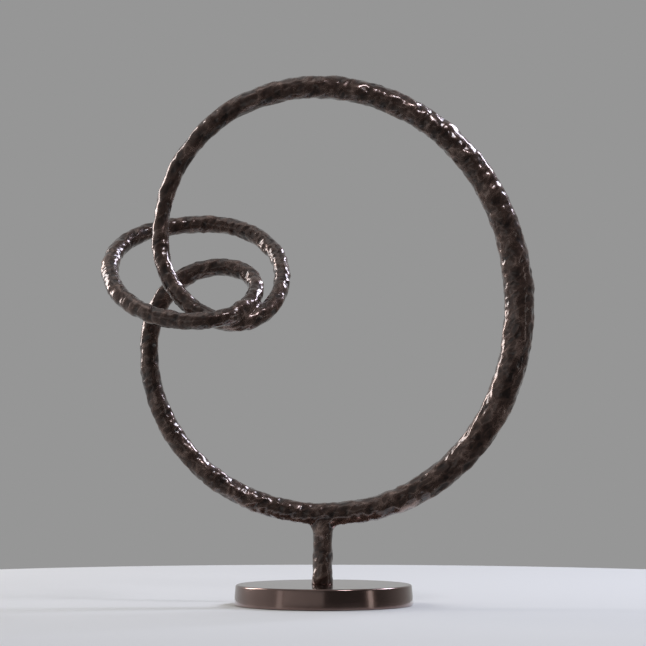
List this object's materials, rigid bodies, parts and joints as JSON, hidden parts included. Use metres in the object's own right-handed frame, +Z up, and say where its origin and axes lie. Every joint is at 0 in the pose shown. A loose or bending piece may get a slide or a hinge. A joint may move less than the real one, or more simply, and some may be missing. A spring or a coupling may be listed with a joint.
{
  "type": "abstract metal sculpture",
  "caption": "Abstract metal sculpture: a hammered rod bent into an oval hoop with a looping coil on one side, on a short stem and a low round base.",
  "frame": {"origin": "centre of the round base's underside", "axes": "+Z up; -Y towards the viewer of the front, where the coil lies on the left; +X to that viewer's right"},
  "size_m": [0.4345, 0.18, 0.5304],
  "materials": {
    "hammered_rod": "hammered casting with an antique dark bronze finish, darker in the hollows and rubbed lighter on the ridges",
    "smooth_base": "smooth turned disc with a satin bronze finish"
  },
  "bodies": {
    "root": {"knotted_ring": "hammered_rod", "round_base": "smooth_base"}
  },
  "joints": []
}
